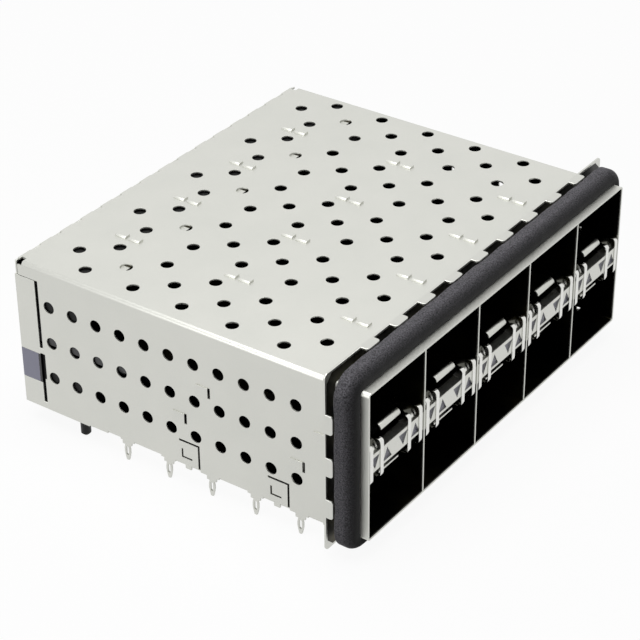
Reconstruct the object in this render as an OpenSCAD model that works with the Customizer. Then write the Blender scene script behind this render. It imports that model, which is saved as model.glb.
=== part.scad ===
// Stacked board-mount cage for pluggable transceivers: five columns of ports, two ports high.
// Millimetres. +X to the right, +Y from the port mouths to the rear, +Z up.
// The origin lies on the board surface, under the middle connector, on the row of locating pegs.
// Inside the modules, y is counted from the front edge of the nose; from_front() moves it back.

/* [Ports] */
// Distance between neighbouring port centres
port_pitch = 14.25; // [14.15:0.05:14.4]
// Clear height of a lower port, from the floor to the separator
lower_port_h = 8.95; // [8.85:0.05:9.05]
// Height of the separator over its two faces
separator_h = 6.5; // [6.3:0.1:6.7]
// Clear height of an upper port, from the separator to the top panel
upper_port_h = 9; // [8.9:0.05:9.1]

/* [Shell] */
// Thickness of the cage's sheet metal
sheet = 0.3; // [0.25:0.05:0.35]
// How far each side wall stands in from the outer port's full pitch
wall_inset = 0.125; // [0.1:0.005:0.15]
// Length of the top panel from the nose's front edge to its rear teeth
shell_depth = 63.5; // [63.3:0.1:64]
// Height of the nose's underside above the board
nose_low_z = 0.9; // [0.85:0.05:1.2]
// Outer radius of the folds along the top panel
fold_r = 0.6; // [0.4:0.05:0.7]
// Outer radius of the nose's lower corners
nose_r = 0.45; // [0.4:0.05:0.8]
// Lower edge of the side walls above the board
skirt_z = 0.65; // [0.55:0.05:0.75]

/* [Vent holes] */
// Diameter of the vent holes
vent_d = 2; // [1.8:0.1:2.2]
// Distance between the rows of vent holes along the cage
vent_pitch_y = 4.52; // [4.45:0.01:4.55]
// First row of vent holes behind the nose's front edge
vent_first_y = 12.2; // [12:0.1:12.4]
// Sideways shift of the top hole grid from the port centres
vent_shift_x = 0.67; // [0.5:0.01:0.8]

/* [Press-fit pins] */
// Length of the pins below the board's upper surface
pin_length = 2.75; // [2.5:0.05:3]
// Distance between neighbouring pins along a wall
pin_pitch = 8; // [7.9:0.05:8.1]
// First pin behind the nose's front edge
pin_first_y = 11.7; // [11.6:0.05:11.8]
// Largest width of a pin's sprung eye
pin_w = 1.05; // [1:0.01:1.1]

/* [Gasket and flange] */
// How far the flange plate stands out from the nose
flange_rise = 2.45; // [2.3:0.05:2.5]
// Front face of the flange plate behind the nose's front edge
flange_y = 5.5; // [5.4:0.1:5.8]
// Length of the flange's bent lips
lip_length = 1.2; // [1:0.05:1.3]
// Width of one lip
lip_w = 3.15; // [3:0.05:3.3]
// Distance between neighbouring lips
lip_pitch = 7.15; // [7.05:0.05:7.2]
// Front face of the foam gasket behind the nose's front edge
gasket_y = 1.2; // [1:0.1:1.4]
// Corner radius of the foam gasket, seen from the front
gasket_r = 3.8; // [3.5:0.1:4.2]
// Radius of the foam gasket's outer front edge
gasket_edge_r = 1.7; // [1.4:0.1:2]

/* [Connectors] */
// Length of a connector body from front to rear
connector_l = 9.7; // [9.5:0.1:9.8]
// Gap between neighbouring connector bodies
connector_gap = 1.05; // [1:0.05:1.2]
// Space between the connector bodies and the rear cover
connector_rear_gap = 3.25; // [3.15:0.05:3.35]
// Diameter of the locating pegs
peg_d = 1.6; // [1.5:0.05:1.7]
// Length of the locating pegs below the board's upper surface
peg_length = 2.4; // [2.2:0.1:2.6]
// Distance of each peg's centre from its connector's side
peg_side_inset = 0.9; // [0.85:0.05:1]
// Row of the pegs behind the connectors' front faces: the datum of the footprint
peg_row_inset = 2.5; // [2.4:0.05:2.6]
// Distance between neighbouring contacts
contact_pitch = 0.8; // [0.8:0.05:0.85]

/* [Hidden] */
$fn = 32;

columns = 5;
eps = 0.01;
half_pitch = port_pitch / 2;
shell_w = columns * port_pitch - 2 * wall_inset;
half_w = shell_w / 2;
inner_half_w = half_w - sheet;
separator_low_z = skirt_z + sheet + lower_port_h;
separator_top_z = separator_low_z + separator_h;
ceiling_z = separator_top_z + upper_port_h;
shell_top_z = ceiling_z + sheet;
nose_end_y = 6.6;
nose_seam_z = nose_low_z + nose_r;
steel = [0.84, 0.84, 0.82];
bright_steel = [0.9, 0.9, 0.9];
foam_grey = [0.27, 0.27, 0.29];
pipe_grey = [0.55, 0.55, 0.6];
body_black = [0.13, 0.13, 0.14];
contact_gold = [0.8, 0.68, 0.35];

// Rear edge of the shell and the flanges of the rear cover
shell_rear_y = shell_depth - 0.4;
cover_rear_y = shell_depth + 0.25;
cover_y = cover_rear_y - sheet;
cover_flange_y = cover_y - 3.5;
cover_top_z = shell_top_z - 2.5;
cover_low_z = 0.45;
wall_gap_y = cover_y - 4.15;
window_z = [5.1, 10.25];
window_gap = 0.03;
edge_teeth = 15;
tooth_pitch = port_pitch / 3;
tooth_depth = 0.4;

// Connectors, placed from the rear cover, with the noses that hold their card slots
connector_rear_y = cover_y - connector_rear_gap;
connector_y = connector_rear_y - connector_l;
connector_w = port_pitch - connector_gap;
nose_y = connector_y - 2.7;
floor_end_y = connector_y - 0.2;
peg_row_y = connector_y + peg_row_inset;
peg_x = connector_w / 2 - peg_side_inset;

// Vent rows
vent_rear_margin = 4.5;
vent_rows = floor((shell_rear_y - vent_rear_margin - vent_first_y) / vent_pitch_y) + 1;
vent_pair_x = 4;
side_vent_z = [skirt_z + sheet + 5.82, separator_low_z + 3.1, separator_top_z + 2.95];

// Pairs of tabs that the dividers fold over the top panel
tab_centres_y = [12, 32.8, shell_depth - 10];
tab_length = 2;
tab_gap = 0.6;
tab_w = 1.15;
hook_y = [1.7, 2.55];
hook_rise = 0.45;

// Cut-outs along the lower edge of the side walls, as [start, end] along the cage
recess_spans = [[7.7, 10.3], [21.1, 26.3], [37.1, 42.3], [floor_end_y - 5.4, floor_end_y - 2.9]];
recess_z = 1;
latch_ys = [15, 31.15];
latch_flap = [-1.1, 2.35, 4.4];
latch_window = [1.95, 2.1, 1.6];
latch_slot = 0.35;
latch_foot_z = 0.3;
pins_per_wall = 5;

// Tabs that the outer separators fold over the side walls, as [slot along the cage, lower edge]
side_tab_zs = [separator_top_z - 1.9, separator_low_z - 1.55];
side_tabs = [[7, side_tab_zs[0]], [27.7, side_tab_zs[0]], [11.1, side_tab_zs[1]], [32.2, side_tab_zs[1]]];
side_tab_h = 1.8;
side_tab_length = 2.2;
side_tab_t = 0.15;
side_tab_slot = 0.35;

// Separator between the upper and lower ports
separator_front_y = 0.12;
nose_bar_z = [separator_low_z + 2.1, separator_top_z - 1.4];
ramp_y = [3, 8];
ramp_rise = 0.3;
separator_rear_y = nose_y - 0.3;
tongue_w = 4.9;
tongue_gap = 0.6;
tongue_half = tongue_w / 2 + tongue_gap;
tongue_root_y = 23;
lip_r = 0.65;
lip_centre = [1.8, separator_top_z + lip_r];
latch_hole_y = 5.5;

// Springs on the separator's nose: sideways places of the narrow hooks and of the wide bows
spring_t = 0.1;
hook_xs = [0.925 - half_pitch, -tongue_half - 0.55, tongue_half + 0.25, half_pitch - 0.925];
hook_w = 0.78;
hook_r = 0.6;
hook_centre_y = separator_front_y - 0.06 + hook_r;
hook_centre_zs = [nose_bar_z[0] - 1.2, nose_bar_z[1] + 0.95];
bow_xs = [2.125 - half_pitch, half_pitch - 2.325];
bow_w = 1.9;
bow_r = 1.15;
bow_centre_y = 1.9;
bow_lifts = [0.75, 0.4];
spring_strip_y = [4.8, 6.8];

// Light pipes: triangles at the front, as [sideways place, 1 for point up or -1 for point down]
pipe_tips = [[1.925 - half_pitch, -1], [-2.15, 1], [1.85, -1], [half_pitch - 2.175, 1]];
pipe_z = [nose_bar_z[0] + 0.4, nose_bar_z[1] - 0.6];
pipe_tip_w = 2.2;
pipe_recess = 0.25;
pipe_rod_w = 1.2;
pipe_pair_x = half_pitch - 1.75;
pipe_pair_half = 0.675;
pipe_rear_x = [
    -pipe_pair_x - pipe_pair_half, -pipe_pair_x + pipe_pair_half,
    pipe_pair_x - pipe_pair_half, pipe_pair_x + pipe_pair_half
];
pipe_bend_y = [separator_rear_y - 9.5, separator_rear_y - 2.5];
pipe_tie_y = [pipe_bend_y[0] - 4, pipe_bend_y[0] - 2];
pipe_leg_y = [cover_y - 3.05, cover_y];
pipe_leg_low_z = 0.4;

// Connectors and contacts
connector_low_z = 0.25;
connector_top_z = ceiling_z - 0.2;
waist_z = [pipe_z[0] - 0.4, pipe_z[1] + 0.6];
waist_half_w = pipe_pair_x - pipe_pair_half - pipe_rod_w / 2 - 0.1;
nose_half_w = connector_w / 2 - 0.9;
nose_half_h = 2.1;
slot_zs = [separator_low_z - 4.6, separator_top_z + 4.5];
slot_half = [nose_half_w - 1, 0.6];
contact_t = 0.3;
contact_margin = 0.05;
contact_rows = floor((2 * (waist_half_w - contact_margin) - contact_t) / contact_pitch) + 1;
lead_w = 0.4;
lead_tail_y = [for (step = [0 : 3]) connector_y + 4.5 + step * 1.2];
lead_tip_z = -2.3;
seat_pad = [6, 3];

// Placement -----------------------------------------------------------------------------------

// Moves geometry counted from the nose's front edge to the part's own origin.
module from_front() {
    translate([0, -peg_row_y, 0]) children();
}

// Draws the children's outline in the plane of a side wall and thickens it to the right.
module sheet_x(x, thickness) {
    translate([x, 0, 0]) rotate([90, 0, 90]) linear_extrude(thickness) children();
}

// Draws the children's outline as seen from the front and extends it to the rear.
module sheet_y(y, depth) {
    translate([0, y + depth, 0]) rotate([90, 0, 0]) linear_extrude(depth) children();
}

// Draws the children's outline as seen from above and thickens it upwards.
module sheet_z(z, thickness) {
    translate([0, 0, z]) linear_extrude(thickness) children();
}

// A box between two corners.
module box(low, high) {
    translate(low) cube(high - low);
}

// Copies the children to the opposite side wall.
module both_sides() {
    children();
    mirror([1, 0, 0]) children();
}

function column_x(c) = (c - (columns + 1) / 2) * port_pitch;
function divider_x(d) = column_x(d) + port_pitch / 2;
function bay_left(c) = c == 1 ? -inner_half_w : column_x(c) - port_pitch / 2 + sheet / 2;
function bay_right(c) = c == columns ? inner_half_w : column_x(c) + port_pitch / 2 - sheet / 2;

// Outlines ------------------------------------------------------------------------------------

function unit(v) = v / norm(v);
function last(p) = len(p) - 1;
function along(p, i) = unit(p[min(i + 1, last(p))] - p[max(i - 1, 0)]);
function beside(p, i, d) = p[i] + d * [-along(p, i).y, along(p, i).x];

// A strip of even thickness along a path of points.
function ribbon(p, t) = concat(
    [for (i = [0 : last(p)]) beside(p, i, t / 2)],
    [for (i = [last(p) : -1 : 0]) beside(p, i, -t / 2)]
);

// Points on an arc about a centre.
function arc(centre, r, from, to, steps) =
    [for (i = [0 : steps]) let (a = from + (to - from) * i / steps) centre + r * [cos(a), sin(a)]];

// A rectangle with its own radius at the lower and at the upper corners.
module rounded_rect(low, high, low_r, high_r) {
    translate([low.x, low.y + low_r]) square([high.x - low.x, high.y - low.y - low_r - high_r]);
    translate([low.x + low_r, low.y]) square([high.x - low.x - 2 * low_r, low_r + eps]);
    translate([low.x + high_r, high.y - high_r - eps]) square([high.x - low.x - 2 * high_r, high_r + eps]);
    for (x = [low.x + low_r, high.x - low_r]) translate([x, low.y + low_r]) circle(low_r);
    for (x = [low.x + high_r, high.x - high_r]) translate([x, high.y - high_r]) circle(high_r);
}

// Outer outline of the nose, grown outwards by a margin.
module nose_outline(margin = 0, low_r = nose_r, high_r = fold_r) {
    x = half_w + margin;
    rounded_rect([-x, nose_low_z - margin], [x, shell_top_z + margin], low_r, high_r);
}

// A press-fit pin with a sprung eye, hanging from a wall's lower edge.
module pin_outline(y, root_z) {
    shoulder = 0.85;
    neck = 0.38;
    tip = 0.2;
    eye_r = 0.22;
    difference() {
        translate([y, 0]) polygon([
            [-shoulder - 0.3, root_z], [-shoulder, 0.3], [-shoulder, 0], [-neck, 0], [-pin_w / 2, -0.7],
            [-pin_w / 2, -1.35], [-neck, -2.1], [-tip, -pin_length], [tip, -pin_length], [neck, -2.1],
            [pin_w / 2, -1.35], [pin_w / 2, -0.7], [neck, 0], [shoulder, 0], [shoulder, root_z]
        ]);
        translate([y, -0.5]) circle(eye_r);
        translate([y, -1.65]) circle(eye_r);
        translate([y - eye_r, -1.65]) square([2 * eye_r, 1.15]);
    }
}

module pin_row(root_z) {
    for (i = [0 : pins_per_wall - 1]) pin_outline(pin_first_y + i * pin_pitch, root_z);
}

// Cage shell ----------------------------------------------------------------------------------

module shell_section() {
    difference() {
        rounded_rect([-half_w, cover_low_z], [half_w, shell_top_z], 0, fold_r);
        rounded_rect([-inner_half_w, cover_low_z - 1], [inner_half_w, ceiling_z], 0, fold_r - sheet);
    }
}

// One shallow tooth of the top panel's rear edge.
module tooth_outline() {
    polygon([[0, -eps], [0, tooth_depth], [2.6, tooth_depth], [3.4, 0], [3.4, -eps]]);
}

module rear_teeth() {
    first_x = -edge_teeth * tooth_pitch / 2 + 0.9;
    sheet_z(ceiling_z, sheet)
        for (i = [0 : edge_teeth - 1])
            translate([first_x + i * tooth_pitch, shell_rear_y]) tooth_outline();
}

module top_vents() {
    for (row = [0 : vent_rows - 1]) {
        offsets = row % 2 == 0 ? [0] : [-vent_pair_x, vent_pair_x];
        for (c = [1 : columns])
            for (dx = offsets)
                translate([column_x(c) + vent_shift_x + dx, vent_first_y + row * vent_pitch_y, ceiling_z - 1])
                    cylinder(d = vent_d, h = 2);
    }
}

module side_vents() {
    for (row = [0 : vent_rows - 1])
        for (z = side_vent_z)
            translate([-half_w - 1, vent_first_y + row * vent_pitch_y, z])
                rotate([0, 90, 0]) cylinder(d = vent_d, h = 2);
}

// Everything cut from the left wall; the right wall is its mirror image.
module wall_cuts() {
    low = -half_w - 1;
    high = -inner_half_w + eps;
    box([low, -1, -1], [high, nose_end_y, nose_seam_z]);
    box([low, nose_end_y - eps, -1], [high, wall_gap_y - 8.3, skirt_z]);
    for (span = recess_spans) box([low, span[0], -1], [high, span[1], recess_z]);
    for (y = latch_ys) {
        box([low, y + latch_flap[0], -1], [high, y + 3.3, recess_z]);
        box([low, y + latch_flap[0] - latch_slot, -1], [high, y + latch_flap[0], nose_low_z + latch_flap[2]]);
        box([low, y + latch_flap[0] - latch_slot, nose_low_z + latch_flap[2] - latch_slot],
            [high, y + latch_flap[1], nose_low_z + latch_flap[2]]);
        box([low, y, latch_window[1]], [high, y + latch_window[0], latch_window[1] + latch_window[2]]);
    }
    for (tab = side_tabs)
        box([low, tab[0] - side_tab_slot, tab[1]], [high, tab[0] + sheet, tab[1] + side_tab_h]);
    box([low, wall_gap_y, -1], [high, shell_depth + 1, cover_top_z + 0.1]);
    box([low, wall_gap_y - 0.3, 6], [high, wall_gap_y + eps, 10.45]);
    box([low, cover_y - 1.25, ceiling_z - 0.4], [low + 2.3, shell_depth + 1, shell_top_z + 1]);
}

// Slots in the top panel where the dividers' tabs and hooks come through.
module divider_slots() {
    for (d = [1 : columns - 1]) {
        x = divider_x(d) - sheet / 2;
        for (y = tab_centres_y)
            for (start = [y - tab_gap / 2 - tab_length, y + tab_gap / 2])
                box([x, start, ceiling_z - 1], [x + sheet, start + tab_length, shell_top_z + 1]);
        box([x, hook_y[0], ceiling_z - 1], [x + sheet, hook_y[1], shell_top_z + 1]);
    }
}

// Stops hemmed under the top panel, one in front of each connector.
module connector_stops() {
    for (c = [1 : columns]) {
        x = column_x(c) + vent_shift_x;
        box([x - 1.4, nose_y + 0.3, ceiling_z - sheet], [x + 1.4, connector_y, ceiling_z + eps]);
        box([x - 1.4, connector_y - sheet, ceiling_z - 1.2], [x + 1.4, connector_y, ceiling_z + eps]);
    }
}

module cage_shell() {
    color(steel) from_front() {
        difference() {
            sheet_y(0, shell_rear_y) shell_section();
            top_vents();
            both_sides() side_vents();
            both_sides() wall_cuts();
            divider_slots();
        }
        rear_teeth();
        connector_stops();
        both_sides() {
            sheet_x(-half_w, sheet) pin_row(skirt_z + 0.4);
            for (y = latch_ys) box([-half_w, y + 0.3, latch_foot_z], [-inner_half_w, y + 1.35, recess_z]);
        }
    }
}

// Bottom plate --------------------------------------------------------------------------------

module nose_trough() {
    difference() {
        nose_outline();
        rounded_rect([-inner_half_w, nose_low_z + sheet], [inner_half_w, shell_top_z + 1], nose_r - sheet, 0);
        translate([-half_w - 1, nose_seam_z]) square([shell_w + 2, shell_top_z]);
    }
}

// Lengthwise section of the plate behind the nose, stepped down to the board.
module floor_section() {
    step_y = [nose_end_y - 0.7, nose_end_y];
    polygon([
        [step_y[0], nose_low_z], [step_y[1], skirt_z], [floor_end_y, skirt_z],
        [floor_end_y, skirt_z + sheet], [step_y[1], skirt_z + sheet], [step_y[0], nose_low_z + sheet]
    ]);
}

module floor_slots() {
    for (d = [1 : columns - 1]) {
        x = divider_x(d) - sheet / 2;
        for (i = [0 : pins_per_wall - 1]) {
            y = pin_first_y + i * pin_pitch;
            box([x, y - 1.3, -1], [x + sheet, y + 1, skirt_z + 1]);
        }
        box([x, hook_y[0], -1], [x + sheet, hook_y[1], nose_low_z + 1]);
    }
}

module bottom_plate() {
    side_x = [-inner_half_w, -inner_half_w + sheet];
    color(steel) from_front() {
        difference() {
            union() {
                sheet_y(0, nose_end_y - 0.7) nose_trough();
                sheet_x(-inner_half_w, 2 * inner_half_w) floor_section();
            }
            floor_slots();
        }
        both_sides() {
            for (span = recess_spans)
                box([side_x[0], span[0] + 0.1, skirt_z], [side_x[1], span[1] - 0.1, 3.9]);
            for (y = latch_ys) {
                box([side_x[0], y - 0.2, skirt_z], [side_x[1], y + 2.2, 4.2]);
                box([-half_w, y, 2.4], [side_x[1], y + 1.65, latch_window[1] + latch_window[2]]);
            }
        }
    }
}

// Rear cover ----------------------------------------------------------------------------------

module cover_plan() {
    difference() {
        translate([-half_w, cover_flange_y]) square([shell_w, cover_rear_y - cover_flange_y]);
        translate([-inner_half_w, cover_flange_y - 1])
            square([2 * inner_half_w, cover_y - cover_flange_y + 1]);
    }
}

module rear_cover() {
    color(steel) from_front() {
        difference() {
            sheet_z(cover_low_z, cover_top_z - cover_low_z) cover_plan();
            both_sides() box([-half_w - 1, cover_flange_y - 1, window_z[0]],
                [-inner_half_w, cover_rear_y + 1, window_z[1]]);
        }
        box([-inner_half_w, cover_y, cover_top_z - eps], [inner_half_w, cover_rear_y, ceiling_z]);
        both_sides() {
            box([-half_w, wall_gap_y, 10.45], [-inner_half_w, cover_flange_y + eps, 11.4]);
            box([-half_w, wall_gap_y, cover_low_z], [-inner_half_w, cover_flange_y + eps, 1.6]);
        }
    }
}

// Dividers ------------------------------------------------------------------------------------

module divider_outline() {
    difference() {
        translate([0, skirt_z + sheet]) square([cover_y, ceiling_z - skirt_z - sheet]);
        translate([-1, 0]) square([nose_end_y - 0.7 + 1, nose_low_z + sheet]);
        polygon([
            [nose_end_y - 0.7, nose_low_z + sheet], [nose_end_y, skirt_z + sheet], [nose_end_y - 0.7, skirt_z]
        ]);
    }
    pin_row(skirt_z + sheet + eps);
    for (y = tab_centres_y)
        for (start = [y - tab_gap / 2 - tab_length, y + tab_gap / 2])
            translate([start, ceiling_z - eps]) square([tab_length, sheet + eps]);
    translate([hook_y[0], ceiling_z - eps]) square([hook_y[1] - hook_y[0], sheet + hook_rise + eps]);
    translate([hook_y[0], nose_low_z - 0.3]) square([hook_y[1] - hook_y[0], sheet + 0.3 + eps]);
}

module divider(d) {
    x = divider_x(d) - sheet / 2;
    color(steel) from_front() {
        sheet_x(x, sheet) divider_outline();
        for (y = tab_centres_y)
            for (start = [y - tab_gap / 2 - tab_length, y + tab_gap / 2])
                sheet_y(start, tab_length) folded_tab(x);
    }
}

// Section of a tab folded to the right over the top panel.
module folded_tab(x) {
    translate([x + sheet, shell_top_z]) intersection() {
        circle(sheet);
        translate([-sheet, 0]) square(sheet);
    }
    translate([x + sheet, shell_top_z]) square([tab_w - sheet, sheet]);
}

// Separators ----------------------------------------------------------------------------------

// Lengthwise outline of the separator, drawn smaller by an inset.
function separator_outline(inset, rear) = [
    [separator_front_y + inset, nose_bar_z[0] + inset], [separator_front_y + inset, nose_bar_z[1] - inset],
    [ramp_y[0], nose_bar_z[1] + ramp_rise - inset], [ramp_y[1], separator_top_z - inset],
    [rear, separator_top_z - inset], [rear, separator_low_z + inset],
    [ramp_y[1], separator_low_z + inset], [ramp_y[0], nose_bar_z[0] - ramp_rise + inset]
];

// Paths of the two latch tongues, from the root to the free edge.
upper_tongue = concat(
    [for (dy = [1, -1]) [tongue_root_y + dy, separator_top_z - sheet / 2]],
    arc(lip_centre, lip_r, 80, 182, 6)
);
lower_tongue = concat(
    [for (dy = [1, -1]) [tongue_root_y + dy, separator_low_z + sheet / 2]],
    [[1.3, separator_low_z - 0.2]]
);

module pipe_tip(tip, z0 = pipe_z[0], z1 = pipe_z[1]) {
    base_z = tip[1] > 0 ? z0 : z1;
    point_z = tip[1] > 0 ? z1 : z0;
    polygon([[tip[0] - pipe_tip_w / 2, base_z], [tip[0] + pipe_tip_w / 2, base_z], [tip[0], point_z]]);
}

module latch_hole(y, z) {
    sheet_z(z, 3) translate([0, y]) polygon([[-1.3, 0], [1.3, 0], [0, 2.6]]);
}

module separator(c) {
    left = bay_left(c);
    width = bay_right(c) - left;
    mid = column_x(c);
    color(steel) from_front() {
        difference() {
            sheet_x(left, width) polygon(separator_outline(0, separator_rear_y));
            sheet_x(left - 1, width + 2) polygon(separator_outline(sheet, separator_rear_y + 1));
            translate([mid, 0, 0]) {
                sheet_y(-1, 2) for (tip = pipe_tips) pipe_tip(tip);
                for (z = [separator_low_z - 1, separator_top_z - sheet - 1.1])
                    box([-tongue_half, separator_front_y + sheet, z],
                        [tongue_half, tongue_root_y, z + sheet + 2]);
            }
        }
        translate([mid, 0, 0]) difference() {
            sheet_x(-tongue_w / 2, tongue_w) {
                polygon(ribbon(upper_tongue, sheet));
                polygon(ribbon(lower_tongue, sheet));
            }
            for (z = [separator_low_z - 1.4, separator_top_z - 0.9]) latch_hole(latch_hole_y, z);
        }
        if (c == 1) outer_tabs();
        if (c == columns) mirror([1, 0, 0]) outer_tabs();
    }
}

// Tabs of an outer separator: through the side wall and folded back along it.
module outer_tabs() {
    for (tab = side_tabs) {
        box([-half_w - side_tab_t, tab[0], tab[1]],
            [-half_w, tab[0] + side_tab_length, tab[1] + side_tab_h]);
        box([-half_w - side_tab_t, tab[0], tab[1]],
            [-inner_half_w + 1, tab[0] + sheet, tab[1] + side_tab_h]);
    }
}

// Port springs --------------------------------------------------------------------------------

// Point of a spring that lies on the separator's upper (1) or lower (-1) ramp.
function on_ramp(y, side) =
    let (start = side > 0 ? nose_bar_z[1] + ramp_rise : nose_bar_z[0] - ramp_rise)
    let (end = side > 0 ? separator_top_z : separator_low_z)
    let (slope = (end - start) / (ramp_y[1] - ramp_y[0]))
    [y, start + (y - ramp_y[0]) * slope + side * (spring_t / 2 + eps) * norm([1, slope])];

// A narrow hook's path: from its free end above the nose down the front and back along the lower ramp.
hook_path = concat(
    [[hook_centre_y + 0.3, hook_centre_zs[1] + hook_r - 0.06]],
    arc([hook_centre_y, hook_centre_zs[1]], hook_r, 80, 180, 6),
    arc([hook_centre_y, hook_centre_zs[0]], hook_r, 180, 285, 6),
    [[1.6, hook_centre_zs[0] - 0.5], on_ramp(spring_strip_y[0], -1), on_ramp(spring_strip_y[1], -1)]
);

// A wide bow's path over the upper (1) or the lower (-1) ramp, down to the nose.
function bow_path(side) =
    let (foot_z = side > 0 ? nose_bar_z[1] : nose_bar_z[0])
    let (lift = side > 0 ? bow_lifts[1] : bow_lifts[0])
    concat(
        [on_ramp(spring_strip_y[1], side), on_ramp(spring_strip_y[0], side)],
        [[bow_centre_y + 1.5, foot_z + side * (lift + 0.75)]],
        arc([bow_centre_y, foot_z + side * lift], bow_r, side * 65, side * 160, 6),
        [[separator_front_y + 0.48, foot_z + side * 0.16]]
    );

// A cross strip that joins the fingers on the upper (1) or the lower (-1) ramp.
module spring_strip(from_x, to_x, side) {
    sheet_x(from_x, to_x - from_x) polygon(ribbon([for (y = spring_strip_y) on_ramp(y, side)], spring_t));
}

module port_spring(c) {
    color(bright_steel) from_front() {
        for (x = hook_xs) sheet_x(column_x(c) + x - hook_w / 2, hook_w) polygon(ribbon(hook_path, spring_t));
        for (x = bow_xs)
            sheet_x(column_x(c) + x - bow_w / 2, bow_w)
                for (side = [-1, 1]) polygon(ribbon(bow_path(side), spring_t));
        spring_strip(bay_left(c), bay_right(c), 1);
        spring_strip(bay_left(c), column_x(c) - tongue_half, -1);
        spring_strip(column_x(c) + tongue_half, bay_right(c), -1);
    }
}

// Light pipes ---------------------------------------------------------------------------------

// One rod seen from above: straight, then set over to pass beside the connector.
function rod_plan(x0, x1) = let (h = pipe_rod_w / 2) [
    [x0 - h, 3], [x0 - h, pipe_bend_y[0]], [x1 - h, pipe_bend_y[1]], [x1 - h, pipe_leg_y[1]],
    [x1 + h, pipe_leg_y[1]], [x1 + h, pipe_bend_y[1]], [x0 + h, pipe_bend_y[0]], [x0 + h, 3]
];

module light_pipe(c) {
    tie_x = pipe_tips[0][0];
    color(pipe_grey) from_front() translate([column_x(c), 0, 0]) {
        for (i = [0 : len(pipe_tips) - 1]) {
            sheet_y(separator_front_y + pipe_recess, 3) pipe_tip(pipe_tips[i]);
            sheet_z(pipe_z[0], pipe_z[1] - pipe_z[0])
                polygon(rod_plan(pipe_tips[i][0], pipe_rear_x[i]));
            box([pipe_rear_x[i] - pipe_rod_w / 2, pipe_leg_y[0], pipe_leg_low_z],
                [pipe_rear_x[i] + pipe_rod_w / 2, pipe_leg_y[1], pipe_z[1]]);
        }
        box([tie_x - pipe_rod_w / 2, pipe_tie_y[0], pipe_z[0]], [-tie_x, pipe_tie_y[1], pipe_z[1]]);
        for (side = [-1, 1])
            translate([side * pipe_pair_x, 0, 0])
                box([-pipe_pair_half, pipe_leg_y[0], pipe_z[0]], [pipe_pair_half, pipe_leg_y[1], pipe_z[1]]);
    }
    if (c == 1) color(pipe_grey) from_front() pipe_window();
    if (c == columns) color(pipe_grey) from_front() mirror([1, 0, 0]) pipe_window();
}

// Block by which an outer light pipe fills the window cut through the rear cover's corner.
module pipe_window() {
    low_z = window_z[0] + window_gap;
    high_z = window_z[1] - window_gap;
    box([-half_w, pipe_leg_y[0], low_z], [-inner_half_w + 0.5, cover_y - window_gap, high_z]);
    box([-half_w, cover_flange_y, low_z], [-inner_half_w - window_gap, cover_rear_y, high_z]);
}

// Connectors ----------------------------------------------------------------------------------

// Path of one contact: from the slot of its port back and down into the board.
function lead_path(slot, row, k) = let (z = slot_zs[slot] + (row == 0 ? -1 : 1) * (slot_half.y + lead_w / 4))
    [[nose_y + 0.7, z], [lead_tail_y[k] - 0.6, z], [lead_tail_y[k], z - 0.6], [lead_tail_y[k], lead_tip_z]];

module lead_outlines() {
    for (slot = [0, 1])
        for (row = [0, 1])
            polygon(ribbon(lead_path(slot, row, 2 * slot + row), lead_w));
}

module leads(c) {
    for (i = [0 : contact_rows - 1])
        sheet_x(column_x(c) + (i - (contact_rows - 1) / 2) * contact_pitch - contact_t / 2, contact_t)
            lead_outlines();
}

module peg() {
    chamfer = 0.4;
    translate([0, 0, -peg_length + chamfer])
        cylinder(d = peg_d, h = peg_length - chamfer + connector_low_z + 0.5);
    translate([0, 0, -peg_length]) cylinder(d1 = peg_d - 2 * chamfer, d2 = peg_d, h = chamfer);
}

module connector_body() {
    half = connector_w / 2;
    difference() {
        union() {
            box([-half, connector_y, connector_low_z], [half, connector_rear_y, waist_z[0]]);
            box([-waist_half_w, connector_y, waist_z[0] - eps],
                [waist_half_w, connector_rear_y, waist_z[1] + eps]);
            box([-half, connector_y, waist_z[1]], [half, connector_rear_y, connector_top_z]);
            for (z = slot_zs)
                box([-nose_half_w, nose_y, z - nose_half_h],
                    [nose_half_w, connector_y + eps, z + nose_half_h]);
        }
        for (z = slot_zs)
            box([-slot_half.x, nose_y - 1, z - slot_half.y], [slot_half.x, connector_y + 3, z + slot_half.y]);
    }
}

module connector(c) {
    color(body_black) from_front() {
        difference() {
            translate([column_x(c), 0, 0]) connector_body();
            leads(c);
        }
        translate([column_x(c), peg_row_y, 0]) {
            for (side = [-1, 1]) translate([side * peg_x, 0, 0]) peg();
            box([-seat_pad.x / 2, -seat_pad.y / 2, 0],
                [seat_pad.x / 2, seat_pad.y / 2, connector_low_z + eps]);
        }
    }
}

module contacts(c) {
    color(contact_gold) from_front() leads(c);
}

// Flange and gasket ---------------------------------------------------------------------------

// One lip seen from its flat side: the root on the flange, the free corners rounded.
module lip_outline() {
    r = 0.5;
    translate([-lip_w / 2, 0]) square([lip_w, lip_length - r]);
    translate([-lip_w / 2 + r, 0]) square([lip_w - 2 * r, lip_length]);
    for (x = [-lip_w / 2 + r, lip_w / 2 - r]) translate([x, lip_length - r]) circle(r);
}

module top_lips() {
    middle_x = 0.8;
    reach = floor((half_w - 4) / lip_pitch);
    for (i = [-reach : reach])
        translate([middle_x + i * lip_pitch, flange_y, shell_top_z + flange_rise - sheet])
            mirror([0, 1, 0]) linear_extrude(sheet) lip_outline();
}

module side_lips() {
    middle_z = (nose_low_z + shell_top_z) / 2 - 0.27;
    for (i = [-1 : 1])
        translate([-half_w - flange_rise, flange_y, middle_z + i * lip_pitch])
            rotate([90, 0, 90]) linear_extrude(sheet) rotate(90) lip_outline();
}

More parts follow.
